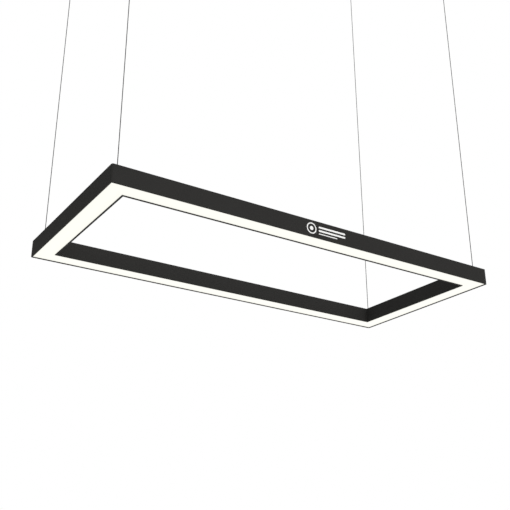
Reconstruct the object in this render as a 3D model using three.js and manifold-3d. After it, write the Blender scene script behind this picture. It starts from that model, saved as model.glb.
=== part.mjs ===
// Rectangular pool table lamp: four mitred aluminium rails with an opal diffuser along their undersides,
// hung level from the ceiling on four thin steel wires.
// Millimetres, +Z up. The origin is on the ceiling plane, above the middle of the lamp.
import * as THREE from "three";
import * as BufferGeometryUtils from "three/addons/utils/BufferGeometryUtils.js";
import Module from "manifold-3d";

const wasm = await Module();
wasm.setup();

// ---- driving dimensions ----
const LENGTH = 2200; // outside, along X
const WIDTH = 975; // outside, along Y
const RAIL_H = 85; // rail height
const RAIL_W = 100; // rail width seen from below
const UNDERSIDE_Z = -2600; // lamp underside below the ceiling
const WALL = 2.6; // rail wall
const GAP = 0.3; // clearance between neighbouring pieces
const CORNER_R = 12; // rounding of the four outer upright corners
const EDGE_R = 1.2; // rounding of the rails' long top edges

// rail section, measured from the outer face and from the underside
const LIP_W = 8; // dark rim beside the diffuser
const LIP_H = 3.3; // how far the diffuser is set up into the rail
const GROOVE_H = 2.9; // groove that holds the diffuser's edges
const RIB_H = 1.8; // rib above that groove
const SHELF_Z = 42; // top of the shelf that carries the gear tray
const SHELF_W = 8;
const SHELF_T = 2;

// lighting gear inside the rails
const DIFFUSER_T = 2.2;
const TRAY_T = 1.5;
const TRAY_FLANGE = 10; // upturned edges that stiffen the tray
const STRIP_T = 1.6;
const STRIP_W = 24;
const STRIP_END_GAP = 4; // from the end of a strip to the next side's strip
const DRIVER = [300, 44, 28];
const DRIVERS_X = [-430, 330]; // middles of the two drivers, in the rear rail
const TERMINAL = [46, 22, 18];
const INLET_FROM_END = 260; // mains inlet, in the top of the rear rail
const INLET_R = 6;
const INLET_BORE_R = 3.75;
const INLET_TO_TERMINAL = 110;

// hanging hardware
const HANG_INSET_X = 44; // wires in from the ring's ends
const HANG_INSET_Y = RAIL_W / 2; // and from its long outer faces
const WIRE_D = 4;
const WIRE_TAIL = 39.5; // wire left below the rail top, inside the corner
const BORE_R = 2.4; // passage for the wire
const STUD_R = 5.5;
const STUD_UP = 3; // stud above the rail top
const SLEEVE_R = 4;
const SLEEVE_CAP_R = 5.2;
const SLEEVE_CAP_H = 3;
const SLEEVE_TRAVEL = 3;
const BARREL_R = 6.5;
const BARREL_DOWN = 24; // gripper below its swivel centre
const BALL_R = 9.5; // the gripper's ball, about the swivel centre
const WASHER_T = 1.5; // spherical washer over the ball
const WASHER_FROM = 42; // the washer's band, in degrees from upright
const WASHER_TO = 62;
const BRACKET_T = 3;
const BRACKET_ARM = 92;
const BRACKET_W = 56;
const RAIL_HOLE_R = 7.4; // leaves the tilting stud room
const ROSETTE_R = 13;
const ROSETTE_H = 1.2;
const PLATE_R = 22; // ceiling plate
const PLATE_T = 3;
const BOSS_R = 8;
const BOSS_H = 16;
const CUP_R = 26; // cover below the ceiling plate
const CUP_H = 28;
const CUP_T = 1.4;
const END_BALL_R = 5; // ball on the wire's top end
const END_BALL_Z = -9; // and its centre, where the wire swings
const END_BORE_R = 2.6;
const END_SEAT_R = 4; // opening in the boss below that ball
const WIRE_IN_BALL = 3; // how far the wire reaches above that centre
const PLATE_SCREW_R = 2.3;
const PLATE_SCREW_AT = 15; // from the plate's middle
const CUP_EDGE_R = 4;
const POCKET_DOWN = 6; // gripper's pocket below its swivel centre
const SLEEVE_UP = 3; // release sleeve's lower end above it
const DRILL = 10; // depth of the holes drilled in the rail tops

const TOP_Z = UNDERSIDE_Z + RAIL_H;
// The washer's outer sphere rests on the edge of the bracket's hole, half way up that sphere
const SEAT_R = (BALL_R + GAP + WASHER_T + GAP) * Math.SQRT1_2;
const SWIVEL_Z = TOP_Z - WALL - GAP - BRACKET_T - SEAT_R;
const ROUND = 16; // sides of a turned piece

// ---- materials ----
function finish(color, roughness, metalness) {
  return new THREE.MeshStandardMaterial({ color, roughness, metalness });
}
const blackCoat = finish(0x2b2b2a, 0.55, 0.2);
const opal = finish(0xfffdf2, 0.4, 0);
opal.emissive = new THREE.Color(0xfffdf2);
const bareAluminium = finish(0xb9bcc0, 0.4, 0.9);
const whiteBoard = finish(0xf1f1ec, 0.6, 0);
const zincSteel = finish(0xa9adb2, 0.38, 0.9);
const nickel = finish(0xc4c6c9, 0.25, 1);
const springSteel = finish(0x8d9196, 0.35, 1);
const wireSteel = finish(0x303030, 0.5, 0.4);
const driverWhite = finish(0xe6e6e2, 0.5, 0);
const terminalGrey = finish(0xcfd2d4, 0.55, 0);
const blackRubber = finish(0x1c1c1c, 0.85, 0);

// ---- booleans ----
function solid(geometry) {
  const bare = geometry.clone();
  bare.deleteAttribute("normal");
  bare.deleteAttribute("uv");
  const merged = BufferGeometryUtils.mergeVertices(bare, 1e-4);
  const vertProperties = new Float32Array(merged.attributes.position.array);
  const triVerts = new Uint32Array(merged.index.array);
  return new wasm.Manifold(new wasm.Mesh({ numProp: 3, vertProperties, triVerts }));
}
function geometryOf(manifold) {
  const mesh = manifold.getMesh();
  const geometry = new THREE.BufferGeometry();
  geometry.setAttribute("position", new THREE.BufferAttribute(mesh.vertProperties, 3));
  geometry.setIndex(new THREE.BufferAttribute(mesh.triVerts, 1));
  return geometry;
}

// ---- shape helpers ----
const lamp = new THREE.Group();
function add(name, geometry, material) {
  const mesh = new THREE.Mesh(geometry, material);
  mesh.name = name;
  lamp.add(mesh);
}
function prism(points, zLow, zHigh) {
  const shape = new THREE.Shape(points.map(([x, y]) => new THREE.Vector2(x, y)));
  const geometry = new THREE.ExtrudeGeometry(shape, { depth: zHigh - zLow, bevelEnabled: false });
  return geometry.translate(0, 0, zLow);
}
// A turned piece: profile points are [radius, z], clockwise or not
function turned(profile, sides = ROUND) {
  const points = profile.map(([r, z]) => new THREE.Vector2(r, z));
  if (THREE.ShapeUtils.area(points) < 0) {
    points.reverse();
  }
  const geometry = new THREE.LatheGeometry([...points, points[0].clone()], sides);
  return geometry.rotateX(Math.PI / 2);
}
function tube(outer, inner, zLow, zHigh, sides = ROUND) {
  return turned([[inner, zHigh], [outer, zHigh], [outer, zLow], [inner, zLow]], sides);
}
function rod(radius, zLow, zHigh, sides = ROUND) {
  const geometry = new THREE.CylinderGeometry(radius, radius, zHigh - zLow, sides);
  return geometry.rotateX(Math.PI / 2).translate(0, 0, (zLow + zHigh) / 2);
}
function arc(cx, cy, radius, from, to, steps) {
  return Array.from({ length: steps + 1 }, (_, i) => {
    const a = from + ((to - from) * i) / steps;
    return [cx + radius * Math.cos(a), cy + radius * Math.sin(a)];
  });
}

// ---- plan of the ring ----
// Each side is named by the outward normal of its outer face and by its outside length
const SIDES = [
  { name: "front", normal: [0, -1], length: LENGTH, reach: WIDTH / 2 },
  { name: "right", normal: [1, 0], length: WIDTH, reach: LENGTH / 2 },
  { name: "rear", normal: [0, 1], length: LENGTH, reach: WIDTH / 2 },
  { name: "left", normal: [-1, 0], length: WIDTH, reach: LENGTH / 2 },
];
// Places a piece drawn as (along the side, in from the outer face, height) on its side of the ring
function onSide(geometry, side) {
  const [nx, ny] = side.normal;
  const along = new THREE.Vector3(-ny, nx, 0);
  const inward = new THREE.Vector3(-nx, -ny, 0);
  const place = new THREE.Matrix4().makeBasis(along, inward, new THREE.Vector3(0, 0, 1));
  place.setPosition(nx * side.reach, ny * side.reach, UNDERSIDE_Z);
  return geometry.applyMatrix4(place);
}
// Everything between the two mitres of one side
function mitres(side, clearance) {
  const half = side.length / 2 - clearance;
  const plan = [[-half, 0], [half, 0], [half - RAIL_W, RAIL_W], [-half + RAIL_W, RAIL_W]];
  return solid(onSide(prism(plan, -1, RAIL_H + 1), side));
}
function section(points, length) {
  const shape = new THREE.Shape(points.map(([u, z]) => new THREE.Vector2(u, z)));
  const geometry = new THREE.ExtrudeGeometry(shape, { depth: length, bevelEnabled: false });
  // the drawn section stands in the (inward, height) plane and runs along the side
  geometry.translate(0, 0, -length / 2);
  const turn = new THREE.Matrix4().makeBasis(
    new THREE.Vector3(0, 1, 0),
    new THREE.Vector3(0, 0, 1),
    new THREE.Vector3(1, 0, 0),
  );
  return geometry.applyMatrix4(turn);
}
function bar(points, side) {
  return solid(onSide(section(points, side.length), side));
}
// The whole plan with rounded corners, drawn in by a distance from the outer faces
function roundedPlan(inset, zLow, zHigh) {
  const radius = CORNER_R - inset;
  const x = LENGTH / 2 - CORNER_R;
  const y = WIDTH / 2 - CORNER_R;
  const quarter = Math.PI / 2;
  const outline = [[x, y], [-x, y], [-x, -y], [x, -y]].flatMap(([cx, cy], i) =>
    arc(cx, cy, radius, i * quarter, (i + 1) * quarter, 6),
  );
  return solid(prism(outline, zLow, zHigh));
}

// ---- rails ----
// Half of the section, from the outer face to the middle; the other half mirrors it
function railSection() {
  const ribTop = LIP_H + GROOVE_H + RIB_H;
  const inside = [
    [WALL, RAIL_H - WALL],
    [WALL, SHELF_Z],
    [SHELF_W, SHELF_Z],
    [SHELF_W, SHELF_Z - SHELF_T],
    [WALL, SHELF_Z - SHELF_T],
    [WALL, ribTop],
    [LIP_W, ribTop],
    [LIP_W, LIP_H + GROOVE_H],
    [WALL, LIP_H + GROOVE_H],
    [WALL, LIP_H],
    [LIP_W, LIP_H],
    [LIP_W, 0],
  ];
  const outside = [[0, 0], ...arc(EDGE_R, RAIL_H - EDGE_R, EDGE_R, Math.PI, Math.PI / 2, 3)];
  const mirror = ([u, z]) => [RAIL_W - u, z];
  return [
    ...outside,
    ...outside.map(mirror).reverse(),
    ...inside.map(mirror).reverse(),
    ...inside,
  ];
}
const HANG_X = LENGTH / 2 - HANG_INSET_X;
const HANG_Y = WIDTH / 2 - HANG_INSET_Y;
const HANGERS = [
  { name: "front_left", x: -HANG_X, y: -HANG_Y },
  { name: "front_right", x: HANG_X, y: -HANG_Y },
  { name: "rear_right", x: HANG_X, y: HANG_Y },
  { name: "rear_left", x: -HANG_X, y: HANG_Y },
];
const REAR_Y = WIDTH / 2 - RAIL_W / 2;
const INLET_X = LENGTH / 2 - INLET_FROM_END;

const holes = HANGERS.map((hanger) => {
  const hole = rod(RAIL_HOLE_R, TOP_Z - DRILL, TOP_Z + 1, 24);
  return solid(hole.translate(hanger.x, hanger.y, 0));
});
holes.push(solid(rod(INLET_R, TOP_Z - DRILL, TOP_Z + 1).translate(INLET_X, REAR_Y, 0)));

// Fills the four outer corners behind their rounding, so that the wall keeps its thickness there
function cornerFiller(sx, sy) {
  const x = LENGTH / 2 - CORNER_R;
  const y = WIDTH / 2 - CORNER_R;
  const outX = LENGTH / 2 - WALL / 2;
  const outY = WIDTH / 2 - WALL / 2;
  const outline = [
    ...arc(x, y, CORNER_R - WALL + GAP / 2, 0, Math.PI / 2, 6),
    [x, outY],
    [outX, outY],
    [outX, y],
  ].map(([u, v]) => [sx * u, sy * v]);
  return solid(prism(outline, UNDERSIDE_Z + LIP_H / 2, TOP_Z - WALL / 2));
}
const fillers = [[1, 1], [-1, 1], [-1, -1], [1, -1]].map(([sx, sy]) => cornerFiller(sx, sy));
const roundedRing = roundedPlan(0, UNDERSIDE_Z - 1, TOP_Z + 1);
for (const side of SIDES) {
  const filled = fillers.reduce((body, filler) => body.add(filler), bar(railSection(), side));
  const cut = filled.intersect(mitres(side, GAP / 2)).intersect(roundedRing);
  const rail = holes.reduce((body, hole) => body.subtract(hole), cut);
  add(`${side.name}_rail`, geometryOf(rail), blackCoat);
}

// ---- diffusers, gear trays and LED strips ----
function slab(uLow, uHigh, zLow, zHigh) {
  return [[uLow, zLow], [uHigh, zLow], [uHigh, zHigh], [uLow, zHigh]];
}
function traySection() {
  const low = SHELF_Z + GAP;
  const inner = WALL + GAP;
  return [
    [inner, low],
    [RAIL_W - inner, low],
    [RAIL_W - inner, low + TRAY_FLANGE],
    [RAIL_W - inner - TRAY_T, low + TRAY_FLANGE],
    [RAIL_W - inner - TRAY_T, low + TRAY_T],
    [inner + TRAY_T, low + TRAY_T],
    [inner + TRAY_T, low + TRAY_FLANGE],
    [inner, low + TRAY_FLANGE],
  ];
}
const insideWalls = roundedPlan(WALL + GAP, UNDERSIDE_Z, TOP_Z);
for (const side of SIDES) {
  const edge = WALL + GAP;
  const plate = slab(edge, RAIL_W - edge, LIP_H + GAP, LIP_H + GAP + DIFFUSER_T);
  const room = mitres(side, GAP).intersect(insideWalls);
  add(`${side.name}_diffuser`, geometryOf(bar(plate, side).intersect(room)), opal);
  add(`${side.name}_gear_tray`, geometryOf(bar(traySection(), side).intersect(room)), bareAluminium);

  const run = side.length - RAIL_W - STRIP_W - 2 * STRIP_END_GAP;
  const strip = new THREE.BoxGeometry(run, STRIP_W, STRIP_T);
  strip.translate(0, RAIL_W / 2, SHELF_Z - STRIP_T / 2);
  add(`${side.name}_led_strip`, onSide(strip, side), whiteBoard);
}

// ---- drivers, terminal block and mains inlet, in the rear rail ----
const TRAY_TOP = UNDERSIDE_Z + SHELF_Z + GAP + TRAY_T + GAP;
DRIVERS_X.forEach((x, i) => {
  const [length, width, height] = DRIVER;
  const box = new THREE.BoxGeometry(length, width, height);
  box.translate(x, REAR_Y, TRAY_TOP + height / 2);
  add(`led_driver_${i + 1}`, box, driverWhite);
});
const terminal = new THREE.BoxGeometry(...TERMINAL);
terminal.translate(INLET_X - INLET_TO_TERMINAL, REAR_Y, TRAY_TOP + TERMINAL[2] / 2);
add("terminal_block", terminal, terminalGrey);

// A grommet: a flange above the rail top and one below it, joined by a neck through the hole
const flangeR = INLET_R + 3;
const lowFlangeR = INLET_R + 2;
const noseR = INLET_BORE_R + 2;
const lipTop = TOP_Z - WALL - GAP;
const grommet = turned([
  [INLET_BORE_R, TOP_Z + 5],
  [noseR, TOP_Z + 5],
  [flangeR, TOP_Z + 2.2],
  [flangeR, TOP_Z + GAP],
  [INLET_R - GAP, TOP_Z + GAP],
  [INLET_R - GAP, lipTop],
  [lowFlangeR, lipTop],
  [lowFlangeR, lipTop - 2.7],
  [INLET_BORE_R, lipTop - 2.7],
]);
add("mains_inlet_grommet", grommet.translate(INLET_X, REAR_Y, 0), blackRubber);

// ---- corner brackets, and wire grippers that swivel in them ----
function cornerPlan(hanger) {
  const sx = -Math.sign(hanger.x);
  const sy = -Math.sign(hanger.y);
  const back = -BRACKET_W / 2;
  const front = BRACKET_W / 2;
  const outline = [
    [back, back],
    [BRACKET_ARM, back],
    [BRACKET_ARM, front],
    [front, front],
    [front, BRACKET_ARM],
    [back, BRACKET_ARM],
  ];
  const placed = outline.map(([x, y]) => [hanger.x + sx * x, hanger.y + sy * y]);
  return sx * sy > 0 ? placed : placed.reverse();
}
// Points of a circle about a centre on the axis, between two angles from upright
function fromUpright(radius, centreZ, fromDegrees, toDegrees, steps) {
  const turn = (degrees) => Math.PI / 2 - THREE.MathUtils.degToRad(degrees);
  return arc(0, centreZ, radius, turn(fromDegrees), turn(toDegrees), steps);
}
function angleAt(radius, ball) {
  return THREE.MathUtils.radToDeg(Math.asin(radius / ball));
}
for (const { x, y, name } of HANGERS) {
  const bracketTop = TOP_Z - WALL - GAP;
  const bracketLow = bracketTop - BRACKET_T;
  const bracketHole = rod(SEAT_R, bracketLow - 1, bracketTop + 1, 24).translate(x, y, 0);
  const bracket = solid(prism(cornerPlan({ x, y }), bracketLow, bracketTop)).subtract(solid(bracketHole));
  add(`${name}_corner_bracket`, geometryOf(bracket), zincSteel);

  // spherical washer between the bracket and the gripper's ball
  const inside = BALL_R + GAP;
  const washer = turned([
    ...fromUpright(inside + WASHER_T, SWIVEL_Z, WASHER_FROM, WASHER_TO, 3),
    ...fromUpright(inside, SWIVEL_Z, WASHER_TO, WASHER_FROM, 3),
  ]);
  add(`${name}_swivel_washer`, washer.translate(x, y, 0), nickel);

  // gripper body: a barrel and a ball below the bracket, and a stud up through the rail with a pocket in it
  const pocket = SLEEVE_R + GAP;
  const pocketLow = SWIVEL_Z - POCKET_DOWN;
  const barrelLow = SWIVEL_Z - BARREL_DOWN;
  const body = turned([
    [pocket, TOP_Z + STUD_UP],
    [STUD_R, TOP_Z + STUD_UP],
    ...fromUpright(BALL_R, SWIVEL_Z, angleAt(STUD_R, BALL_R), 180 - angleAt(BARREL_R, BALL_R), 7),
    [BARREL_R, barrelLow + 2],
    [BARREL_R - 1.5, barrelLow],
    [BORE_R, barrelLow],
    [BORE_R, pocketLow],
    [pocket, pocketLow],
  ]);
  add(`${name}_gripper_body`, body.translate(x, y, 0), nickel);

  // rosette: trims the hole in the rail top
  const rosetteLow = TOP_Z + GAP;
  const rosette = turned([
    [RAIL_HOLE_R + GAP, rosetteLow],
    [ROSETTE_R, rosetteLow],
    [ROSETTE_R - 0.8, rosetteLow + ROSETTE_H],
    [RAIL_HOLE_R + GAP, rosetteLow + ROSETTE_H],
  ], 24);
  add(`${name}_rosette`, rosette.translate(x, y, 0), blackCoat);

  // release sleeve: pressed down into the gripper to let the wire run
  const capLow = TOP_Z + STUD_UP + SLEEVE_TRAVEL + GAP;
  const sleeveLow = SWIVEL_Z + SLEEVE_UP;
  const sleeve = turned([
    [BORE_R, capLow + SLEEVE_CAP_H],
    [SLEEVE_CAP_R - 1, capLow + SLEEVE_CAP_H],
    [SLEEVE_CAP_R, capLow + SLEEVE_CAP_H - 1],
    [SLEEVE_CAP_R, capLow],
    [SLEEVE_R, capLow],
    [SLEEVE_R, sleeveLow],
    [BORE_R, sleeveLow],
  ]);
  add(`${name}_release_sleeve`, sleeve.translate(x, y, 0), nickel);

  const spring = tube(SLEEVE_R, BORE_R + 0.5, pocketLow + GAP, sleeveLow - GAP, 12);
  add(`${name}_release_spring`, spring.translate(x, y, 0), springSteel);
}

// ---- wires and ceiling fittings ----
for (const { x, y, name } of HANGERS) {
  const wireTop = END_BALL_Z + WIRE_IN_BALL;
  const route = new THREE.LineCurve3(
    new THREE.Vector3(x, y, wireTop),
    new THREE.Vector3(x, y, TOP_Z - WIRE_TAIL),
  );
  const round = new THREE.Shape(
    arc(0, 0, WIRE_D / 2, 0, 2 * Math.PI, 8)
      .slice(0, 8)
      .map(([u, v]) => new THREE.Vector2(u, v)),
  );
  const wire = new THREE.ExtrudeGeometry(round, { extrudePath: route, steps: 1, bevelEnabled: false });
  add(`${name}_wire`, wire, wireSteel);

  const bored = angleAt(END_BORE_R, END_BALL_R);
  const ball = turned(fromUpright(END_BALL_R, END_BALL_Z, bored, 180 - bored, 8));
  add(`${name}_wire_end_ball`, ball.translate(x, y, 0), nickel);

  // ceiling plate: a disc against the ceiling with a hollow boss that the ball sits in
  const pocket = END_BALL_R + GAP + 0.1;
  const seatZ = END_BALL_Z - Math.sqrt((END_BALL_R + GAP) ** 2 - END_SEAT_R ** 2);
  const plate = turned([
    [pocket, 0],
    [PLATE_R, 0],
    [PLATE_R, -PLATE_T],
    [BOSS_R, -PLATE_T],
    [BOSS_R, -BOSS_H],
    [END_SEAT_R, -BOSS_H],
    [END_SEAT_R, seatZ],
    [pocket, seatZ],
  ], 24);
  let drilled = solid(plate.translate(x, y, 0));
  for (const offset of [-PLATE_SCREW_AT, PLATE_SCREW_AT]) {
    const hole = rod(PLATE_SCREW_R, -PLATE_T - 1, 1, 12);
    drilled = drilled.subtract(solid(hole.translate(x + offset, y, 0)));
  }
  add(`${name}_ceiling_plate`, geometryOf(drilled), zincSteel);

  // ceiling cup: a drawn cover with a hole for the wire
  const inner = CUP_R - CUP_T;
  const mouth = END_SEAT_R + 0.8;
  const foldR = CUP_EDGE_R - CUP_T;
  const cup = turned([
    [inner, -GAP],
    [CUP_R, -GAP],
    ...arc(CUP_R - CUP_EDGE_R, -CUP_H + CUP_EDGE_R, CUP_EDGE_R, 0, -Math.PI / 2, 4),
    [mouth, -CUP_H],
    [mouth, -CUP_H + CUP_T],
    ...arc(CUP_R - CUP_EDGE_R, -CUP_H + CUP_EDGE_R, foldR, -Math.PI / 2, 0, 3),
  ], 24);
  add(`${name}_ceiling_cup`, cup.translate(x, y, 0), blackCoat);
}

export default lamp;
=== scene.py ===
# A rectangular pool table lamp: four black aluminium rails with lit opal undersides, on four steel wires.
# All is in metres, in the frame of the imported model: +Z up, origin on the ceiling above the lamp's middle.
import math

import bmesh
import bpy
from mathutils import Matrix, Vector


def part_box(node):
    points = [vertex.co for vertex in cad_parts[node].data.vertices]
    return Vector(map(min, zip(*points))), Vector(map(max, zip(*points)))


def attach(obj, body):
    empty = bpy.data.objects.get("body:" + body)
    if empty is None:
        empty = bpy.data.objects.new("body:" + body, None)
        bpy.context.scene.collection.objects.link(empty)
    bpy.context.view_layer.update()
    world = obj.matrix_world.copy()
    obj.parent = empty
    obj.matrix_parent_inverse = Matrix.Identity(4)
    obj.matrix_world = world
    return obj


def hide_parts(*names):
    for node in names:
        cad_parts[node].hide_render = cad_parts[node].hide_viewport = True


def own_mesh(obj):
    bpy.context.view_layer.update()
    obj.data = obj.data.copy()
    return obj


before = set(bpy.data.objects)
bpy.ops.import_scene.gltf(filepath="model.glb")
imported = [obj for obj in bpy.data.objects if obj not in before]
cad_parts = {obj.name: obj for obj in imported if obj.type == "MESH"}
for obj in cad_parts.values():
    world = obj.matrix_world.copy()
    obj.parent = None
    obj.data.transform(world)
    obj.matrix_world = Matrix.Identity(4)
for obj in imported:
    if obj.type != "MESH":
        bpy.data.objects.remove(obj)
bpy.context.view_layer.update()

MM = 0.001
SHARP = math.radians(32)  # edges that turn by more than this are drawn sharp

# ---- places and sizes, worked out from the frame ----
front_low, front_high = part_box("front_rail")
_, rear_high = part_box("rear_rail")
left_low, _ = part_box("left_rail")
right_low, right_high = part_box("right_rail")
UNDER = front_low.z
TOP = front_high.z
LENGTH = right_high.x - left_low.x
WIDTH = rear_high.y - front_low.y
RAIL_W = right_high.x - right_low.x
RAIL_H = TOP - UNDER
WALL = 2.6 * MM
GAP = 0.3 * MM
LIP_W = 8 * MM
LIP_H = 3.3 * MM
GROOVE_H = 2.9 * MM  # takes the diffuser's edges
RIB_H = 1.8 * MM
SHELF_Z = 42 * MM  # top of the shelf that carries the gear tray
SHELF_W = 8 * MM
SHELF_T = 2 * MM
CORNER_R = 12 * MM
CORNERS = ["front_left", "front_right", "rear_right", "rear_left"]
# for each side: the way it faces, its length, and how far it stands from the lamp's middle
SIDES = {
    "front": ((0, -1), LENGTH, WIDTH / 2),
    "right": ((1, 0), WIDTH, LENGTH / 2),
    "rear": ((0, 1), LENGTH, WIDTH / 2),
    "left": ((-1, 0), WIDTH, LENGTH / 2),
}
BALL_Z = -9 * MM  # centre of the ball on each wire's top end
WIRE_D = 4 * MM
WIRE_TAIL = 39.5 * MM  # wire left below the rail top
WIRE_TOP = BALL_Z + 3 * MM
WIRE_LOW = TOP - WIRE_TAIL
BALL_R = 9.5 * MM
SWIVEL_Z = TOP - WALL - GAP - 3 * MM - (BALL_R + 2.1 * MM) * math.sqrt(0.5)


def hanger(corner):
    """Where a corner's wire hangs, in plan."""
    low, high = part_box(f"{corner}_wire")
    return (low.x + high.x) / 2, (low.y + high.y) / 2


# ---- camera: below the lamp, off its front left corner, looking up ----
CAMERA_LENS = 56.84
CAMERA_AT = (-2.1985, -3.2269, UNDER - 1.4989)
CAMERA_YAW = 0.5798
CAMERA_PITCH = 0.3868
camera = bpy.data.objects.new("camera", bpy.data.cameras.new("camera"))
camera.data.sensor_width = 36
camera.data.lens = CAMERA_LENS
camera.data.clip_start = 0.05
camera.data.clip_end = 200
camera.location = CAMERA_AT
camera.rotation_euler = (math.pi / 2 + CAMERA_PITCH, 0, -CAMERA_YAW)
bpy.context.collection.objects.link(camera)
bpy.context.scene.camera = camera


# ---- mesh helpers ----
def finish_mesh(name, bm, material, sharp=SHARP):
    """Cleans a bmesh, marks its sharp edges and makes it an object."""
    bmesh.ops.recalc_face_normals(bm, faces=bm.faces)
    for face in bm.faces:
        face.smooth = True
    for edge in bm.edges:
        if len(edge.link_faces) == 2 and edge.calc_face_angle(0) > sharp:
            edge.smooth = False
    mesh = bpy.data.meshes.new(name)
    bm.to_mesh(mesh)
    bm.free()
    obj = bpy.data.objects.new(name, mesh)
    obj.data.materials.append(material)
    bpy.context.collection.objects.link(obj)
    return obj


def arc(cx, cy, radius, start, end, steps):
    """Points of a circle, angles in degrees."""
    turn = [math.radians(start + (end - start) * i / steps) for i in range(steps + 1)]
    return [(cx + radius * math.cos(a), cy + radius * math.sin(a)) for a in turn]


def lathe_into(bm, profile, centre=(0, 0), sides=64, radius_of=None):
    """Turns a closed profile of (radius, z) points about an upright axis.

    radius_of(point number, radius, angle) may vary the radius round the turn.
    """
    rings = []
    for k in range(sides):
        a = 2 * math.pi * k / sides
        ring = []
        for i, (radius, z) in enumerate(profile):
            r = radius if radius_of is None else radius_of(i, radius, a)
            ring.append(bm.verts.new((centre[0] + r * math.cos(a), centre[1] + r * math.sin(a), z)))
        rings.append(ring)
    count = len(profile)
    for k in range(sides):
        one, two = rings[k], rings[(k + 1) % sides]
        for i in range(count):
            j = (i + 1) % count
            bm.faces.new((one[i], two[i], two[j], one[j]))


def lathe(name, profile, material, centre=(0, 0), sides=64, radius_of=None):
    bm = bmesh.new()
    lathe_into(bm, profile, centre, sides, radius_of)
    return finish_mesh(name, bm, material)


def prism_into(bm, outline, low, high):
    """An upright prism over a plan outline."""
    under = [bm.verts.new((x, y, low)) for x, y in outline]
    over = [bm.verts.new((x, y, high)) for x, y in outline]
    bm.faces.new(under)
    bm.faces.new(over)
    for i in range(len(outline)):
        j = (i + 1) % len(outline)
        bm.faces.new((under[i], under[j], over[j], over[i]))


def block_into(bm, low, high, bevel=0.0, segments=2):
    """A box between two corners, with rounded edges where a bevel is given."""
    made = bmesh.ops.create_cube(bm, size=1)["verts"]
    size = Vector(high) - Vector(low)
    middle = (Vector(high) + Vector(low)) / 2
    for v in made:
        v.co = Vector((v.co.x * size.x, v.co.y * size.y, v.co.z * size.z)) + middle
    if bevel:
        edges = list({e for v in made for e in v.link_edges})
        bmesh.ops.bevel(bm, geom=edges, offset=bevel, segments=segments, affect="EDGES", profile=0.5)


def cut(obj, cutter, operation):
    """A boolean, applied at once; the cutter is deleted."""
    modifier = obj.modifiers.new("cut", "BOOLEAN")
    modifier.operation = operation
    modifier.solver = "MANIFOLD"
    modifier.object = cutter
    bpy.context.view_layer.update()
    ready = obj.evaluated_get(bpy.context.evaluated_depsgraph_get())
    mesh = bpy.data.meshes.new_from_object(ready)
    obj.modifiers.clear()
    obj.data = mesh
    bpy.data.objects.remove(cutter)


def resharpen(obj):
    """Cleans a mesh after its cuts and marks its sharp edges again."""
    bm = bmesh.new()
    bm.from_mesh(obj.data)
    bmesh.ops.remove_doubles(bm, verts=bm.verts, dist=2e-6)
    bmesh.ops.recalc_face_normals(bm, faces=bm.faces)
    bmesh.ops.triangulate(bm, faces=[f for f in bm.faces if len(f.verts) > 4])
    for face in bm.faces:
        face.smooth = True
    for edge in bm.edges:
        edge.smooth = not (len(edge.link_faces) == 2 and edge.calc_face_angle(0) > SHARP)
    bm.to_mesh(obj.data)
    bm.free()


def on_side(side, along, inward, up):
    """A point given along a side of the ring, in from its outer face and up from the underside."""
    (nx, ny), _, reach = SIDES[side]
    return (nx * (reach - inward) - ny * along, ny * (reach - inward) + nx * along, UNDER + up)


def mitred_bar(name, side, outline, material, clearance=0.0):
    """Runs an outline of (inward, up) points along a side, cut at 45 degrees at both ends.

    clearance is how far along the side each end stays short of the true mitre.
    """
    half = SIDES[side][1] / 2 - clearance
    bm = bmesh.new()
    ends = [
        [bm.verts.new(on_side(side, sign * (half - u), u, z)) for u, z in outline]
        for sign in (-1, 1)
    ]
    for end in ends:
        bm.faces.new(end)
    count = len(outline)
    layer = bm.loops.layers.uv.new("UVMap")
    for i in range(count):
        j = (i + 1) % count
        face = bm.faces.new((ends[0][i], ends[0][j], ends[1][j], ends[1][i]))
        across = [outline[i][0], outline[j][0], outline[j][0], outline[i][0]]
        along = [-half, -half, half, half]
        for loop, u, v in zip(face.loops, across, along):
            loop[layer].uv = (u / RAIL_W, v)
    bm.normal_update()
    bmesh.ops.triangulate(bm, faces=[f for f in bm.faces if len(f.verts) > 4])
    return finish_mesh(name, bm, material)


def weighted(obj):
    """Lets large faces lead the shading, so that flats beside a rounded edge look flat."""
    modifier = obj.modifiers.new("normals", "WEIGHTED_NORMAL")
    modifier.keep_sharp = True
    return obj


def soften(obj, width):
    """A small bevel on the sharp edges."""
    modifier = obj.modifiers.new("bevel", "BEVEL")
    modifier.width = width
    modifier.segments = 2
    modifier.limit_method = "ANGLE"
    modifier.angle_limit = math.radians(40)
    return weighted(obj)


def put(piece, body, slot, *replaced):
    """A new piece rides on a body and stands for CAD nodes, which are hidden; slot is not used."""
    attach(piece, body)
    if replaced:
        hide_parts(*replaced)
    return piece


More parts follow.
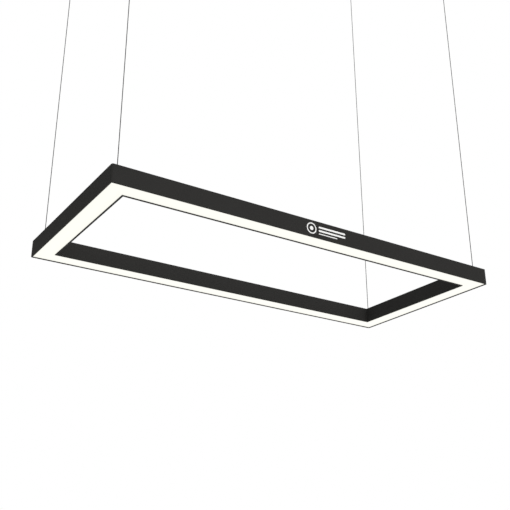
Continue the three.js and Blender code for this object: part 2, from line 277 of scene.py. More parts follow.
# ---- materials ----
class Nodes:
    """A small helper round one material's node tree."""

    def __init__(self, name):
        self.material = bpy.data.materials.new(name)
        self.material.use_nodes = True
        self.tree = self.material.node_tree
        self.shader = self.tree.nodes["Principled BSDF"]
        self.position = self.node("ShaderNodeTexCoord").outputs["Object"]

    def node(self, kind, **values):
        made = self.tree.nodes.new(kind)
        for key, value in values.items():
            setattr(made, key, value)
        return made

    def link(self, output, socket):
        self.tree.links.new(output, socket)

    def set(self, **values):
        for key, value in values.items():
            self.shader.inputs[key.replace("_", " ")].default_value = value

    def stretched(self, scale):
        mapping = self.node("ShaderNodeMapping")
        mapping.inputs["Scale"].default_value = scale
        self.link(self.position, mapping.inputs["Vector"])
        return mapping.outputs["Vector"]

    def noise(self, scale, detail=2.0, vector=None, roughness=0.5):
        made = self.node("ShaderNodeTexNoise")
        made.inputs["Scale"].default_value = scale
        made.inputs["Detail"].default_value = detail
        made.inputs["Roughness"].default_value = roughness
        self.link(self.position if vector is None else vector, made.inputs["Vector"])
        return made.outputs["Fac"]

    def ramp(self, factor, stops):
        made = self.node("ShaderNodeValToRGB")
        while len(made.color_ramp.elements) < len(stops):
            made.color_ramp.elements.new(0.5)
        for element, (place, color) in zip(made.color_ramp.elements, stops):
            element.position = place
            element.color = color if len(color) == 4 else (*color, 1)
        self.link(factor, made.inputs["Fac"])
        return made.outputs["Color"]

    def grey(self, factor, low, high, start=0.3, end=0.7):
        return self.ramp(factor, [(start, (low,) * 3), (end, (high,) * 3)])

    def mix(self, factor, one, two):
        made = self.node("ShaderNodeMix", data_type="RGBA")
        self.link(factor, made.inputs[0])
        for socket, value in ((made.inputs[6], one), (made.inputs[7], two)):
            if isinstance(value, tuple):
                socket.default_value = (*value, 1)
            else:
                self.link(value, socket)
        return made.outputs[2]

    def bump(self, heights):
        """Adds bumps one on another: (height output, strength, distance)."""
        normal = None
        for height, strength, distance in heights:
            made = self.node("ShaderNodeBump")
            made.inputs["Strength"].default_value = strength
            made.inputs["Distance"].default_value = distance
            self.link(height, made.inputs["Height"])
            if normal is not None:
                self.link(normal, made.inputs["Normal"])
            normal = made.outputs["Normal"]
        self.link(normal, self.shader.inputs["Normal"])


def powder_coat(name, rough):
    """Fine-textured matt black powder coat: a sandy grain over a slow orange peel."""
    dark, light = (0.0215, 0.021, 0.0202), (0.031, 0.0302, 0.0288)
    n = Nodes(name)
    grain = n.noise(2600, 3)
    peel = n.noise(420, 2)
    cloud = n.noise(9, 3)
    tone = n.mix(grain, dark, light)
    n.link(n.mix(n.grey(cloud, 0.0, 0.35), tone, light), n.shader.inputs["Base Color"])
    n.link(n.grey(peel, *rough), n.shader.inputs["Roughness"])
    n.set(Specular_IOR_Level=0.03)
    n.bump([(grain, 0.35, 0.00006), (peel, 0.3, 0.00012)])
    return n.material


def opal():
    """Lit opal polycarbonate: warm white, a little brighter over the LEDs than at its edges."""
    n = Nodes("opal diffuser")
    across = n.node("ShaderNodeSeparateXYZ")
    uv = n.node("ShaderNodeUVMap", uv_map="UVMap")
    n.link(uv.outputs["UV"], across.inputs["Vector"])
    edge, quarter, middle = (0.9, 0.885, 0.8), (0.955, 0.95, 0.885), (0.965, 0.962, 0.905)
    glow = n.ramp(across.outputs["X"], [
        (0.0, edge),
        (0.16, quarter),
        (0.5, middle),
        (0.84, quarter),
        (1.0, edge),
    ])
    haze = n.noise(60, 3)
    n.link(n.mix(n.grey(haze, 0.0, 0.2), glow, (0.94, 0.935, 0.87)), n.shader.inputs["Emission Color"])
    n.shader.inputs["Emission Strength"].default_value = 1.0
    n.link(n.mix(haze, (0.02, 0.02, 0.019), (0.03, 0.03, 0.028)), n.shader.inputs["Base Color"])
    n.link(n.grey(n.noise(900, 2), 0.42, 0.5), n.shader.inputs["Roughness"])
    n.set(Specular_IOR_Level=0.1)
    n.bump([(n.noise(1800, 2), 0.12, 0.00003)])
    return n.material


def metal(name, dark, light, rough, stretch=None, grain=900, depth=0.00003, speckle=None):
    """A bare metal with drawn or cast grain."""
    n = Nodes(name)
    vector = n.stretched(stretch) if stretch else None
    lines = n.noise(grain, 4, vector)
    tone = n.mix(lines, dark, light)
    if speckle:
        cells = n.node("ShaderNodeTexVoronoi")
        cells.inputs["Scale"].default_value = speckle
        n.link(n.position, cells.inputs["Vector"])
        tone = n.mix(n.grey(cells.outputs["Distance"], 0.0, 0.45, 0.1, 0.6), tone, dark)
    n.link(tone, n.shader.inputs["Base Color"])
    n.link(n.grey(n.noise(grain / 4, 3, vector), *rough), n.shader.inputs["Roughness"])
    n.set(Metallic=1.0)
    n.bump([(lines, 0.25, depth)])
    return n.material


def plastic(name, dark, light, rough, grain=1400, depth=0.00004, level=0.4):
    """Moulded plastic or rubber with a spark-eroded skin."""
    n = Nodes(name)
    skin = n.noise(grain, 3)
    cloud = n.noise(30, 2)
    n.link(n.mix(n.grey(cloud, 0.1, 0.9), dark, light), n.shader.inputs["Base Color"])
    n.link(n.grey(skin, *rough), n.shader.inputs["Roughness"])
    n.set(Specular_IOR_Level=level)
    n.bump([(skin, 0.3, depth)])
    return n.material


COAT = powder_coat("black powder coat", (0.5, 0.62))
CUP_COAT = powder_coat("ceiling cup coat", (0.45, 0.55))
OPAL = opal()
ALUMINIUM = metal("mill aluminium", (0.62, 0.63, 0.65), (0.74, 0.75, 0.77), (0.3, 0.45), (2, 60, 60), 40)
ZINC = metal("zinc plate", (0.5, 0.52, 0.55), (0.68, 0.7, 0.72), (0.3, 0.5), grain=600, speckle=260)
NICKEL = metal("satin nickel", (0.55, 0.55, 0.55), (0.7, 0.69, 0.68), (0.2, 0.34), (40, 40, 900), 6)
SPRING = metal("spring steel", (0.3, 0.31, 0.33), (0.42, 0.43, 0.45), (0.25, 0.4))
WIRE = plastic("blackened strand", (0.016, 0.016, 0.016), (0.03, 0.03, 0.03), (0.45, 0.6), level=0.3)
BOARD = plastic("white solder mask", (0.82, 0.82, 0.79), (0.88, 0.88, 0.86), (0.4, 0.5))
PHOSPHOR = plastic("LED phosphor", (0.85, 0.66, 0.12), (0.9, 0.72, 0.2), (0.3, 0.4), depth=0.00002)
DRIVER = plastic("white driver case", (0.74, 0.74, 0.72), (0.8, 0.8, 0.78), (0.45, 0.6))
TERMINAL = plastic("grey terminal", (0.5, 0.52, 0.54), (0.57, 0.59, 0.6), (0.45, 0.6))
RUBBER = plastic("black rubber", (0.012, 0.012, 0.012), (0.02, 0.02, 0.02), (0.7, 0.85), 700, 0.00008, 0.3)
PRINT = plastic("white print", (0.83, 0.83, 0.82), (0.9, 0.9, 0.89), (0.45, 0.6), 2400, 0.00002, 0.2)


# ---- the wires: twisted strands, taut from the ceiling to the grippers ----
STRANDS = 6
VALLEY = 0.8  # radius between two strands, as a share of the wire's
LAY = 22 * MM  # length of one turn of the strands
LAY_STEPS = 12
PATH_STEPS = 20


def stranded_wire(corner):
    """One wire, and the path along its middle from its lower end up."""
    x, y = hanger(corner)
    top, low = WIRE_TOP, WIRE_LOW
    around = 2 * STRANDS
    steps = int((top - low) / (LAY / LAY_STEPS))
    bm = bmesh.new()
    rings = []
    for k in range(steps + 1):
        z = top + (low - top) * k / steps
        twist = 2 * math.pi * (top - z) / LAY
        ring = []
        for i in range(around):
            a = 2 * math.pi * i / around
            r = WIRE_D / 2 * (1 if i % 2 else VALLEY)
            ring.append(bm.verts.new((x + r * math.cos(a + twist), y + r * math.sin(a + twist), z)))
        rings.append(ring)
    for one, two in zip(rings, rings[1:]):
        for i in range(around):
            j = (i + 1) % around
            bm.faces.new((one[i], one[j], two[j], two[i]))
    bm.faces.new(rings[0])
    bm.faces.new(rings[-1])
    wire = finish_mesh(f"{corner}_strand", bm, WIRE, math.radians(75))
    put(wire, f"{corner}_wire", "wire", f"{corner}_wire")
    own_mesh(wire)
    return wire, [(x, y, low + (top - low) * i / PATH_STEPS) for i in range(PATH_STEPS + 1)]


strands = {corner: stranded_wire(corner) for corner in CORNERS}


# ---- rails ----
def rail_outline():
    """The rail's section: an upside-down channel with a lip, a groove and a shelf along each wall."""
    rib_top = LIP_H + GROOVE_H + RIB_H
    soft = 0.35 * MM
    edge = 1.2 * MM
    outside = arc(soft, soft, soft, 270, 180, 3) + arc(edge, RAIL_H - edge, edge, 180, 90, 6)
    inside = [
        (WALL, RAIL_H - WALL),
        (WALL, SHELF_Z),
        (SHELF_W, SHELF_Z),
        (SHELF_W, SHELF_Z - SHELF_T),
        (WALL, SHELF_Z - SHELF_T),
        (WALL, rib_top),
        (LIP_W, rib_top),
        (LIP_W, LIP_H + GROOVE_H),
        (WALL, LIP_H + GROOVE_H),
        (WALL, LIP_H),
        (LIP_W, LIP_H),
    ] + arc(LIP_W - soft, soft, soft, 0, -90, 3)
    return outside + mirrored(outside) + mirrored(inside) + inside


def mirrored(points):
    """The same points on the far side of the rail's middle, in the reverse order."""
    return [(RAIL_W - u, z) for u, z in reversed(points)]


def corner_waste(radius):
    """A cutter for what a rounding of that radius takes off the four outer corners."""
    x, y = LENGTH / 2 - CORNER_R, WIDTH / 2 - CORNER_R
    beyond, over = CORNER_R + 6 * MM, 5 * MM
    bm = bmesh.new()
    for sx, sy in ((1, 1), (-1, 1), (-1, -1), (1, -1)):
        outline = arc(0, 0, radius, 0, 90, 12) + [(0, beyond), (beyond, beyond), (beyond, 0)]
        prism_into(bm, [(sx * (x + u), sy * (y + v)) for u, v in outline], UNDER - over, TOP + over)
    return finish_mesh("cutter", bm, COAT)


def corner_filler(side):
    """Metal behind the rounded corners at a rail's two ends, up to the mitres."""
    half = SIDES[side][1] / 2
    out = CORNER_R - WALL / 2
    outline = arc(0, 0, CORNER_R - WALL + GAP / 2, 45, 90, 6) + [(0, out), (out, out)]
    bm = bmesh.new()
    for end in (-1, 1):
        placed = [on_side(side, end * (half - CORNER_R + u), CORNER_R - v, 0)[:2] for u, v in outline]
        prism_into(bm, placed, UNDER + LIP_H / 2, TOP - WALL / 2)
    return finish_mesh("filler", bm, COAT)


def outward(corner):
    """+1 or -1 along X and Y, from the lamp's middle towards a corner."""
    x, y = hanger(corner)
    return math.copysign(1, x), math.copysign(1, y)


def screw_places(corner):
    """Two screws in each arm of the corner bracket."""
    x, y = hanger(corner)
    sx, sy = outward(corner)
    arm, apart = 66 * MM, 15 * MM
    steps = [(arm, -apart), (arm, apart), (-apart, arm), (apart, arm)]
    return [(x - sx * u, y - sy * v) for u, v in steps]


def drills(holes, low, high):
    """One cutter made of upright cylinders: holes is a list of (x, y, radius, sides)."""
    bm = bmesh.new()
    for x, y, radius, sides in holes:
        prism_into(bm, [(x + u, y + v) for u, v in arc(0, 0, radius, 0, 360, sides)[:-1]], low, high)
    return finish_mesh("cutter", bm, COAT)


inlet_low, inlet_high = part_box("mains_inlet_grommet")
INLET = ((inlet_low.x + inlet_high.x) / 2, (inlet_low.y + inlet_high.y) / 2)
INLET_R = 6 * MM
STUD_HOLE_R = 7.4 * MM  # lets a gripper lean
SCREW_HOLE_R = 2.15 * MM


def make_rails():
    """Four mitred profiles, rounded at the outer corners and drilled from above."""
    holes = [(*INLET, INLET_R, 32)]
    for corner in CORNERS:
        holes.append((*hanger(corner), STUD_HOLE_R, 48))
        holes += [(x, y, SCREW_HOLE_R, 20) for x, y in screw_places(corner)]
    for side in SIDES:
        rail = mitred_bar(f"{side}_profile", side, rail_outline(), COAT)
        cut(rail, corner_filler(side), "UNION")
        cut(rail, corner_waste(CORNER_R), "DIFFERENCE")
        cut(rail, drills(holes, TOP - 10 * MM, TOP + 5 * MM), "DIFFERENCE")
        resharpen(rail)
        weighted(rail)
        put(rail, "lamp_frame", "rail", f"{side}_rail")


make_rails()


# ---- diffusers, gear trays and LED strips ----
def rounded(points, radius, steps=4):
    """The same polygon with its corners rounded."""
    made = []
    count = len(points)
    for i, (x, y) in enumerate(points):
        here = Vector((x, y))
        back = (Vector(points[i - 1]) - here).normalized()
        ahead = (Vector(points[(i + 1) % count]) - here).normalized()
        half = back.angle(ahead) / 2
        reach = min(radius / math.tan(half), 0.45 * min(
            (Vector(points[i - 1]) - here).length, (Vector(points[(i + 1) % count]) - here).length))
        start, end = here + back * reach, here + ahead * reach
        for k in range(steps + 1):
            t = k / steps
            point = (1 - t) ** 2 * start + 2 * t * (1 - t) * here + t ** 2 * end
            made.append((point.x, point.y))
    return made


def slab(inner, low, thick):
    """A flat section, as wide as the room between the rail's walls."""
    return [(inner, low), (RAIL_W - inner, low), (RAIL_W - inner, low + thick), (inner, low + thick)]


def tray_outline():
    """Folded sheet: a flat floor between two upturned flanges."""
    inner = WALL + GAP
    low = SHELF_Z + GAP
    sheet = 1.5 * MM
    flange = 10 * MM
    half = [(inner, low + flange), (inner, low), (RAIL_W - inner, low), (RAIL_W - inner, low + flange)]
    back = [
        (RAIL_W - inner - sheet, low + flange),
        (RAIL_W - inner - sheet, low + sheet),
        (inner + sheet, low + sheet),
        (inner + sheet, low + flange),
    ]
    return rounded(half + back, 0.7 * MM, 3)


LED_PITCH = 16.6 * MM
RESISTOR_EVERY = 6  # LEDs between two pairs of resistors


def led_strip(side, board_t):
    """A white board with a row of LEDs under it, each a white frame round a yellow window."""
    strip_low, strip_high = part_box(f"{side}_led_strip")
    size = strip_high - strip_low
    run, width = max(size.x, size.y), min(size.x, size.y)
    board = bmesh.new()
    block_into(board, (-run / 2, -width / 2, 0), (run / 2, width / 2, board_t), 0.2 * MM, 1)
    frames, windows = bmesh.new(), bmesh.new()
    pitch = run / round(run / LED_PITCH)
    for k in range(round(run / pitch)):
        x = -run / 2 + pitch * (k + 0.5)
        block_into(frames, (x - 1.75 * MM, -1.4 * MM, -0.7 * MM), (x + 1.75 * MM, 1.4 * MM, 0))
        block_into(windows, (x - 1.35 * MM, -1.05 * MM, -0.76 * MM), (x + 1.35 * MM, 1.05 * MM, -0.66 * MM))
        for across in (-7.5 * MM, 7.5 * MM):
            if k % RESISTOR_EVERY == RESISTOR_EVERY // 2:
                block_into(frames, (x - 1.6 * MM, across - 0.8 * MM, -0.55 * MM),
                           (x + 1.6 * MM, across + 0.8 * MM, 0), 0.1 * MM, 1)
    middle = (strip_low + strip_high) / 2
    turn = Matrix.Rotation(0 if size.x > size.y else math.pi / 2, 4, "Z")
    place = Matrix.Translation((middle.x, middle.y, strip_low.z)) @ turn
    for bm in (board, frames, windows):
        bm.transform(place)
    put(finish_mesh(f"{side}_led_board", board, BOARD), "lamp_frame", "led_strip", f"{side}_led_strip")
    put(finish_mesh(f"{side}_led_packages", frames, DRIVER), "lamp_frame", "led_strip")
    put(finish_mesh(f"{side}_led_windows", windows, PHOSPHOR), "lamp_frame", "led_strip")


def make_light_gear():
    """Each side's opal cover, gear tray and LED strip."""
    rounding = CORNER_R - WALL - GAP
    for side in SIDES:
        plate = rounded(slab(WALL + GAP, LIP_H + GAP, 2.2 * MM), 0.4 * MM, 3)
        lens = mitred_bar(f"{side}_opal_cover", side, plate, OPAL)
        cut(lens, corner_waste(rounding), "DIFFERENCE")
        resharpen(lens)
        put(weighted(lens), "lamp_frame", "diffuser", f"{side}_diffuser")
        tray = mitred_bar(f"{side}_tray", side, tray_outline(), ALUMINIUM, GAP)
        cut(tray, corner_waste(rounding), "DIFFERENCE")
        resharpen(tray)
        put(weighted(tray), "lamp_frame", "gear_tray", f"{side}_gear_tray")
        led_strip(side, 1.6 * MM)


make_light_gear()


# ---- drivers, terminal block and mains inlet ----
PAST = 1 * MM  # how far a cutter reaches past a face


def make_driver(node):
    """A rounded case with a seam round each end cap and three wire entries in each end."""
    low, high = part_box(node)
    cap, seam = 22 * MM, 0.6 * MM
    deep, half, entry_low, entry_high = 5 * MM, 3.4 * MM, 9 * MM, 15 * MM
    bm = bmesh.new()
    block_into(bm, low, high, 2.2 * MM, 4)
    driver = finish_mesh(f"{node}_case", bm, DRIVER)
    bm = bmesh.new()
    for x in (low.x + cap, high.x - cap):
        block_into(bm, (x - seam, low.y - PAST, low.z + 6 * MM), (x + seam, high.y + PAST, high.z + PAST))
    for x in (low.x, high.x):
        for y in (-12 * MM, 0, 12 * MM):
            middle = (low.y + high.y) / 2 + y
            block_into(bm, (x - deep, middle - half, low.z + entry_low),
                       (x + deep, middle + half, low.z + entry_high))
    cut(driver, finish_mesh("cutter", bm, DRIVER), "DIFFERENCE")
    resharpen(driver)
    put(weighted(driver), "lamp_frame", "driver", node)


def make_terminal():
    """A three-way block: six screws in wells, six wire entries and two grooves between the ways."""
    low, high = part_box("terminal_block")
    middle = (low + high) / 2
    pitch, well = 14 * MM, 2.7 * MM
    half, deep, entry_low, entry_high = 2.5 * MM, 7 * MM, 4 * MM, 9 * MM
    groove, groove_deep = 0.7 * MM, 3 * MM
    bm = bmesh.new()
    block_into(bm, low, high, 1.2 * MM, 3)
    block = finish_mesh("terminal_block_body", bm, TERMINAL)
    places = [(middle.x + i * pitch, middle.y + s * 6 * MM) for i in (-1, 0, 1) for s in (-1, 1)]
    wells = [(x, y, well, 24) for x, y in places]
    cut(block, drills(wells, high.z - 5 * MM, high.z + PAST), "DIFFERENCE")
    bm = bmesh.new()
    for i in (-1, 0, 1):
        x = middle.x + i * pitch
        block_into(bm, (x - half, low.y - PAST, low.z + entry_low),
                   (x + half, low.y + deep, low.z + entry_high))
        block_into(bm, (x - half, high.y - deep, low.z + entry_low),
                   (x + half, high.y + PAST, low.z + entry_high))
    for x in (middle.x - pitch / 2, middle.x + pitch / 2):
        block_into(bm, (x - groove, low.y - PAST, high.z - groove_deep),
                   (x + groove, high.y + PAST, high.z + PAST))
    cut(block, finish_mesh("cutter", bm, TERMINAL), "DIFFERENCE")
    resharpen(block)
    put(weighted(block), "lamp_frame", "terminal", "terminal_block")
    bm = bmesh.new()
    for x, y in places:
        pan_head(bm, x, y, high.z - 4.6 * MM, 2.3 * MM, 1.6 * MM, 1)
    put(weighted(finish_mesh("terminal_screws", bm, ZINC)), "lamp_frame", "zinc_steel")


def hexagon(a):
    """How far a hexagon's edge is from its middle, as a share of half its width across flats."""
    return 1 / math.cos((a % (math.pi / 3)) - math.pi / 6)


def pan_head(bm, x, y, z, radius, height, up, shank=0.0, shank_r=0.0):
    """A domed screw head with a hexagon socket, standing on z and facing up (1) or down (-1)."""
    socket, depth = radius * 0.42, height * 0.55
    axis = 0.0001  # just off the axis, so that the profile turns into a closed tube
    dome = [(radius * math.cos(t), height * (0.35 + 0.65 * math.sin(t))) for t in
            [math.radians(a) for a in (0, 15, 30, 45, 56)]]
    profile = [(socket, height - depth), (socket, height * 0.93), (socket * 1.12, height)] + dome[::-1]
    profile += [(radius, 0.0)]
    if shank:
        profile += [(shank_r, 0.0), (shank_r, -shank), (axis, -shank)]
    else:
        profile += [(axis, 0.0)]
    profile += [(axis, height - depth)]
    placed = [(r, z + up * h) for r, h in profile]
    lathe_into(bm, placed, (x, y), 36, lambda i, r, a: r * hexagon(a) if i < 3 else r)


def make_grommet():
    """A rubber bush with a collar above and a lip below the rail's top wall."""
    bore, top, wall = 3.75 * MM, TOP, TOP - WALL
    profile = [
        (bore, top + 4.4 * MM),
        (bore + 0.5 * MM, top + 5 * MM),
        (bore + 1.7 * MM, top + 5 * MM),
        (bore + 2.3 * MM, top + 4.5 * MM),
        (INLET_R + 2.6 * MM, top + 2.4 * MM),
        (INLET_R + 3 * MM, top + 1.9 * MM),
        (INLET_R + 3 * MM, top + 0.7 * MM),
        (INLET_R + 2.6 * MM, top + GAP),
        (INLET_R - GAP, top + GAP),
        (INLET_R - GAP, wall - GAP),
        (INLET_R + 2 * MM, wall - GAP),
        (INLET_R + 2 * MM, wall - 2.4 * MM),
        (INLET_R + 1.4 * MM, wall - 3 * MM),
        (bore, wall - 3 * MM),
    ]
    grommet = lathe("mains_inlet_bush", profile, RUBBER, INLET, 72)
    put(weighted(grommet), "lamp_frame", "grommet", "mains_inlet_grommet")


for driver_node in ("led_driver_1", "led_driver_2"):
    make_driver(driver_node)
make_terminal()
make_grommet()


# ---- corner brackets, and the wire grippers that swivel in them ----
def from_upright(radius, start, end, steps):
    """Points of a circle about the swivel centre, angles in degrees from upright."""
    return [(radius * math.sin(t), SWIVEL_Z + radius * math.cos(t)) for t in
            [math.radians(start + (end - start) * i / steps) for i in range(steps + 1)]]


STUD_R = 5.5 * MM
BARREL_R = 6.5 * MM
BORE_R = 2.4 * MM
SLEEVE_R = 4 * MM
POCKET_R = SLEEVE_R + GAP
STUD_TOP = TOP + 3 * MM
POCKET_LOW = SWIVEL_Z - 6 * MM
SLEEVE_LOW = SWIVEL_Z + 3 * MM
CAP_LOW = STUD_TOP + 3 * MM + GAP
SEAT_R = (BALL_R + 2.1 * MM) * math.sqrt(0.5)
SPRING_LOW = POCKET_LOW + GAP
SPRING_HIGH = SLEEVE_LOW - GAP


def make_bracket(corner):
    """An L-shaped plate under the rails' top walls, with its four screws."""
    x, y = hanger(corner)
    sx, sy = outward(corner)
    low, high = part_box(f"{corner}_corner_bracket")
    back, front, arm = -28 * MM, 28 * MM, 92 * MM
    outline = [(back, back), (arm, back), (arm, front), (front, front), (front, arm), (back, arm)]
    placed = [(x - sx * u, y - sy * v) for u, v in rounded(outline, 3 * MM, 5)]
    bm = bmesh.new()
    prism_into(bm, placed, low.z, high.z)
    bracket = finish_mesh(f"{corner}_bracket_plate", bm, ZINC)
    holes = [(x, y, SEAT_R, 48)] + [(u, v, SCREW_HOLE_R, 20) for u, v in screw_places(corner)]
    cut(bracket, drills(holes, low.z - PAST, high.z + PAST), "DIFFERENCE")
    resharpen(bracket)
    soften(bracket, 0.3 * MM)
    put(bracket, "lamp_frame", "zinc_steel", f"{corner}_corner_bracket")
    bm = bmesh.new()
    for u, v in screw_places(corner):
        pan_head(bm, u, v, TOP + 0.05 * MM, 4 * MM, 2.3 * MM, 1, 9 * MM, 1.95 * MM)
    put(weighted(finish_mesh(f"{corner}_bracket_screws", bm, COAT)), "lamp_frame", "zinc_steel")


def make_gripper(corner):
    """The cup washer, the gripper with its ball, and the release sleeve with a knurled cap."""
    at = hanger(corner)
    washer = lathe(f"{corner}_cup_washer", [
        *from_upright(BALL_R + GAP + 1.5 * MM, 42, 62, 8),
        *from_upright(BALL_R + GAP, 62, 42, 8),
    ], NICKEL, at, 72)
    put(weighted(washer), f"{corner}_washer", "nickel", f"{corner}_swivel_washer")

    barrel_low = SWIVEL_Z - 24 * MM
    stud_meets = math.degrees(math.asin(STUD_R / BALL_R))
    barrel_meets = 180 - math.degrees(math.asin(BARREL_R / BALL_R))
    barrel = lathe(f"{corner}_gripper", [
        (POCKET_R, STUD_TOP - 0.4 * MM),
        (POCKET_R + 0.4 * MM, STUD_TOP),
        (STUD_R - 0.5 * MM, STUD_TOP),
        (STUD_R, STUD_TOP - 0.5 * MM),
        *from_upright(BALL_R, stud_meets, barrel_meets, 22),
        (BARREL_R, barrel_low + 9 * MM),
        (BARREL_R - 0.5 * MM, barrel_low + 8.5 * MM),
        (BARREL_R - 0.5 * MM, barrel_low + 7.5 * MM),
        (BARREL_R, barrel_low + 7 * MM),
        (BARREL_R, barrel_low + 2 * MM),
        (BARREL_R - 1.5 * MM, barrel_low),
        (BORE_R + 0.4 * MM, barrel_low),
        (BORE_R, barrel_low + 0.4 * MM),
        (BORE_R, POCKET_LOW),
        (POCKET_R, POCKET_LOW),
    ], NICKEL, at, 72)
    put(weighted(barrel), f"{corner}_gripper", "nickel", f"{corner}_gripper_body")

    top = CAP_LOW + 3 * MM
    cap_r = 5.2 * MM
    knurled = {4, 5}  # the two points of the profile that carry the cap's rim

    def knurl(i, r, a):
        return r - (0.14 * MM * abs(math.sin(15 * a)) if i in knurled else 0)

    sleeve = lathe(f"{corner}_sleeve_knob", [
        (BORE_R, top - 0.3 * MM),
        (BORE_R + 0.3 * MM, top),
        (cap_r - 1 * MM, top),
        (cap_r - 0.3 * MM, top - 0.45 * MM),
        (cap_r, top - 0.9 * MM),
        (cap_r, CAP_LOW + 0.4 * MM),
        (cap_r - 0.3 * MM, CAP_LOW),
        (SLEEVE_R, CAP_LOW),
        (SLEEVE_R, SLEEVE_LOW),
        (BORE_R, SLEEVE_LOW),
    ], NICKEL, at, 120, knurl)
    put(weighted(sleeve), f"{corner}_sleeve", "nickel", f"{corner}_release_sleeve")


def make_spring(corner):
    """A coil with closed ends between the gripper's pocket and the sleeve."""
    x, y = hanger(corner)
    wire_r, coil_r, turns, sides, turn_steps = 0.32 * MM, 3.45 * MM, 6, 10, 28
    low, high = SPRING_LOW + wire_r, SPRING_HIGH - wire_r
    closed = 2.1 * wire_r  # rise of the first turn and of the last
    steps = turns * turn_steps
    bm = bmesh.new()
    rings = []
    for k in range(steps + 1):
        t = k / steps
        a = 2 * math.pi * turns * t
        open_share = min(max((t * turns - 1) / (turns - 2), 0), 1)
        rise = min(t * turns, 1) * closed + open_share * (high - low - 2 * closed)
        rise += max(t * turns - (turns - 1), 0) * closed
        ring = []
        for i in range(sides):
            b = 2 * math.pi * i / sides
            r = coil_r + wire_r * math.cos(b)
            z = low + rise + wire_r * math.sin(b)
            ring.append(bm.verts.new((x + r * math.cos(a), y + r * math.sin(a), z)))
        rings.append(ring)
    for one, two in zip(rings, rings[1:]):
        for i in range(sides):
            j = (i + 1) % sides
            bm.faces.new((one[i], one[j], two[j], two[i]))
    bm.faces.new(rings[0])
    bm.faces.new(rings[-1])
    spring = finish_mesh(f"{corner}_coil_spring", bm, SPRING, math.radians(60))
    put(spring, f"{corner}_gripper", "spring", f"{corner}_release_spring")
    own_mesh(spring)


def make_rosette(corner):
    """A flat trim ring round the gripper's hole."""
    low = TOP + GAP
    inner, outer = STUD_HOLE_R + GAP, 13 * MM
    rosette = lathe(f"{corner}_trim_ring", [
        (inner, low),
        (outer, low),
        (outer, low + 0.3 * MM),
        (outer - 0.35 * MM, low + 0.8 * MM),
        (outer - 1.1 * MM, low + 1.2 * MM),
        (inner + 0.3 * MM, low + 1.2 * MM),
        (inner, low + 0.9 * MM),
    ], COAT, hanger(corner), 72)
    put(weighted(rosette), "lamp_frame", "rail", f"{corner}_rosette")


# ---- ceiling fittings ----
def make_ceiling(corner):
    """The end ball, the plate that holds it, two screws and the cup over them; gives the ball."""
    x, y = hanger(corner)
    ball_r, bore_r = 5 * MM, 2.6 * MM
    bored = math.degrees(math.asin(bore_r / ball_r))
    turn = [math.radians(bored + (180 - 2 * bored) * i / 24) for i in range(25)]
    ball = lathe(f"{corner}_end_stop_ball", [
        (ball_r * math.sin(t), BALL_Z + ball_r * math.cos(t)) for t in turn
    ], NICKEL, (x, y), 64)
    put(weighted(ball), f"{corner}_end_ball", "nickel", f"{corner}_wire_end_ball")

    pocket = ball_r + 0.4 * MM
    seat = 4 * MM
    seat_z = BALL_Z - math.sqrt((ball_r + GAP) ** 2 - seat ** 2)
    plate_r, plate_t, boss_r, boss_h = 22 * MM, 3 * MM, 8 * MM, 16 * MM
    plate = lathe(f"{corner}_ceiling_disc", [
        (pocket, 0.0),
        (plate_r, 0.0),
        (plate_r, -plate_t + 0.5 * MM),
        (plate_r - 0.5 * MM, -plate_t),
        (boss_r + 1 * MM, -plate_t),
        (boss_r + 0.3 * MM, -plate_t - 0.3 * MM),
        (boss_r, -plate_t - 1 * MM),
        (boss_r, -boss_h + 0.5 * MM),
        (boss_r - 0.5 * MM, -boss_h),
        (seat, -boss_h),
        (seat, seat_z),
        (pocket, seat_z),
    ], ZINC, (x, y), 72)
    screws = [(x - 15 * MM, y), (x + 15 * MM, y)]
    screw_holes = [(u, v, 2.3 * MM, 24) for u, v in screws]
    cut(plate, drills(screw_holes, -plate_t - 2 * MM, PAST), "DIFFERENCE")
    resharpen(plate)
    put(weighted(plate), "ceiling_fittings", "zinc_steel", f"{corner}_ceiling_plate")
    bm = bmesh.new()
    for u, v in screws:
        pan_head(bm, u, v, -plate_t - 0.05 * MM, 4 * MM, 2.3 * MM, -1, 2.8 * MM, 2 * MM)
    put(weighted(finish_mesh(f"{corner}_ceiling_screws", bm, ZINC)), "ceiling_fittings", "zinc_steel")

    cup_r, cup_h, sheet = 26 * MM, 28 * MM, 1.4 * MM
    inner, mouth = cup_r - sheet, seat + 0.8 * MM
    cup = lathe(f"{corner}_ceiling_cover", [
        (inner, -GAP),
        (cup_r - 0.3 * MM, -GAP),
        (cup_r, -GAP - 0.3 * MM),
        *arc(cup_r - 4 * MM, -cup_h + 4 * MM, 4 * MM, 0, -90, 12),
        (mouth + 0.3 * MM, -cup_h),
        (mouth, -cup_h + 0.3 * MM),
        (mouth, -cup_h + sheet),
        *arc(inner - 3 * MM, -cup_h + sheet + 3 * MM, 3 * MM, -90, 0, 8),
    ], CUP_COAT, (x, y), 96)
    put(weighted(cup), "ceiling_fittings", "ceiling_cup", f"{corner}_ceiling_cup")
    return ball


for corner in CORNERS:
    make_bracket(corner)
    make_gripper(corner)
    make_spring(corner)
    make_rosette(corner)
    stop_ball = make_ceiling(corner)


# ---- printed mark: a plain ring and bars, on the front rail's outer face ----
MARK_X = -0.115  # its left end
RING_R = 28 * MM
RING_HOLE_R = 22.5 * MM
DOT_R = 10 * MM
BARS_FROM = 70 * MM
BARS = [  # each bar's height above the middle, its width and its length
    (14 * MM, 9 * MM, 160 * MM),
    (-4 * MM, 9 * MM, 160 * MM),
    (-20 * MM, 4.5 * MM, 110 * MM),
]


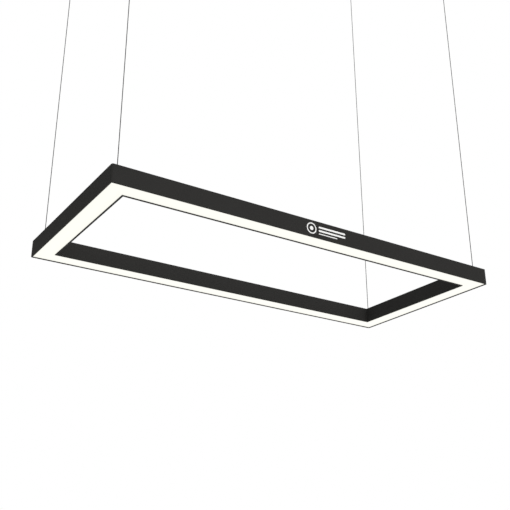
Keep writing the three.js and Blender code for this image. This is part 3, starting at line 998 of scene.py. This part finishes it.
def make_mark():
    """Flat white print that stands a tenth of a millimetre proud."""
    face = -WIDTH / 2
    thick = 0.1 * MM
    mid_z = UNDER + RAIL_H * 0.5
    bm = bmesh.new()

    def print_shape(points, hole=None):
        near = [bm.verts.new((x, face - thick, z)) for x, z in points]
        far = [bm.verts.new((x, face, z)) for x, z in points]
        count = len(points)
        if hole is None:
            bm.faces.new(near)
            bm.faces.new(far)
        else:
            near_hole = [bm.verts.new((x, face - thick, z)) for x, z in hole]
            far_hole = [bm.verts.new((x, face, z)) for x, z in hole]
        for i in range(count):
            j = (i + 1) % count
            bm.faces.new((near[i], near[j], far[j], far[i]))
            if hole is not None:
                bm.faces.new((near_hole[i], near_hole[j], far_hole[j], far_hole[i]))
                bm.faces.new((near[i], near[j], near_hole[j], near_hole[i]))
                bm.faces.new((far[i], far[j], far_hole[j], far_hole[i]))

    ring_x = MARK_X + RING_R
    ring = arc(ring_x, mid_z, RING_R, 0, 360, 72)[:-1]
    print_shape(ring, arc(ring_x, mid_z, RING_HOLE_R, 0, 360, 72)[:-1])
    print_shape(arc(ring_x, mid_z, DOT_R, 0, 360, 48)[:-1])
    left = MARK_X + BARS_FROM
    for up, height, length in BARS:
        low, high = mid_z + up - height / 2, mid_z + up + height / 2
        bar = [(left, low), (left + length, low), (left + length, high), (left, high)]
        print_shape(rounded(bar, height / 2, 8))
    put(finish_mesh("front_print", bm, PRINT), "lamp_frame", "rail")


make_mark()


# ---- floor, lights and background ----
FLOOR_Z = UNDER - 1.65
FLOOR_REACH = 60
SOFTNESS = 0.9  # angle that each light fills, in radians
AMBIENT = 0.38


def sun_light(name, source, strength):
    """Even, soft light that comes from the direction of source."""
    light = bpy.data.objects.new(name, bpy.data.lights.new(name, "SUN"))
    light.data.energy = strength
    light.data.angle = SOFTNESS
    light.rotation_euler = Vector(source).to_track_quat("Z", "Y").to_euler()
    bpy.context.collection.objects.link(light)


def pale_floor():
    """Plain, pale and matt, with a faint cloud of tone."""
    n = Nodes("pale floor")
    cloud = n.noise(3, 3)
    n.link(n.mix(cloud, (0.8, 0.8, 0.79), (0.84, 0.84, 0.83)), n.shader.inputs["Base Color"])
    n.link(n.grey(cloud, 0.75, 0.85), n.shader.inputs["Roughness"])
    return n.material


floor_bm = bmesh.new()
bmesh.ops.create_grid(floor_bm, x_segments=8, y_segments=8, size=FLOOR_REACH)
bmesh.ops.translate(floor_bm, verts=floor_bm.verts, vec=(0, 0, FLOOR_Z))
floor = finish_mesh("floor", floor_bm, pale_floor())

sun_light("overhead", (0.2, -0.25, 1), 1.5)
sun_light("key", (0.1, -1, 0.16), 1.6)
sun_light("side", (-1, -0.1, 0.16), 0.35)


def studio_world(ambient):
    """A white background over a dimmer, even light, so that the black rails keep their depth."""
    world = bpy.data.worlds.new("studio")
    world.use_nodes = True
    tree = world.node_tree
    backdrop = tree.nodes["Background"]
    backdrop.inputs["Color"].default_value = (1, 1, 1, 1)
    light = tree.nodes.new("ShaderNodeBackground")
    light.inputs["Strength"].default_value = ambient
    light.inputs["Color"].default_value = (1, 1, 1, 1)
    mix = tree.nodes.new("ShaderNodeMixShader")
    seen = tree.nodes.new("ShaderNodeLightPath").outputs["Is Camera Ray"]
    tree.links.new(seen, mix.inputs[0])
    tree.links.new(light.outputs[0], mix.inputs[1])
    tree.links.new(backdrop.outputs[0], mix.inputs[2])
    tree.links.new(mix.outputs[0], tree.nodes["World Output"].inputs["Surface"])
    bpy.context.scene.world = world


studio_world(AMBIENT)
bpy.context.scene.view_settings.view_transform = "Standard"
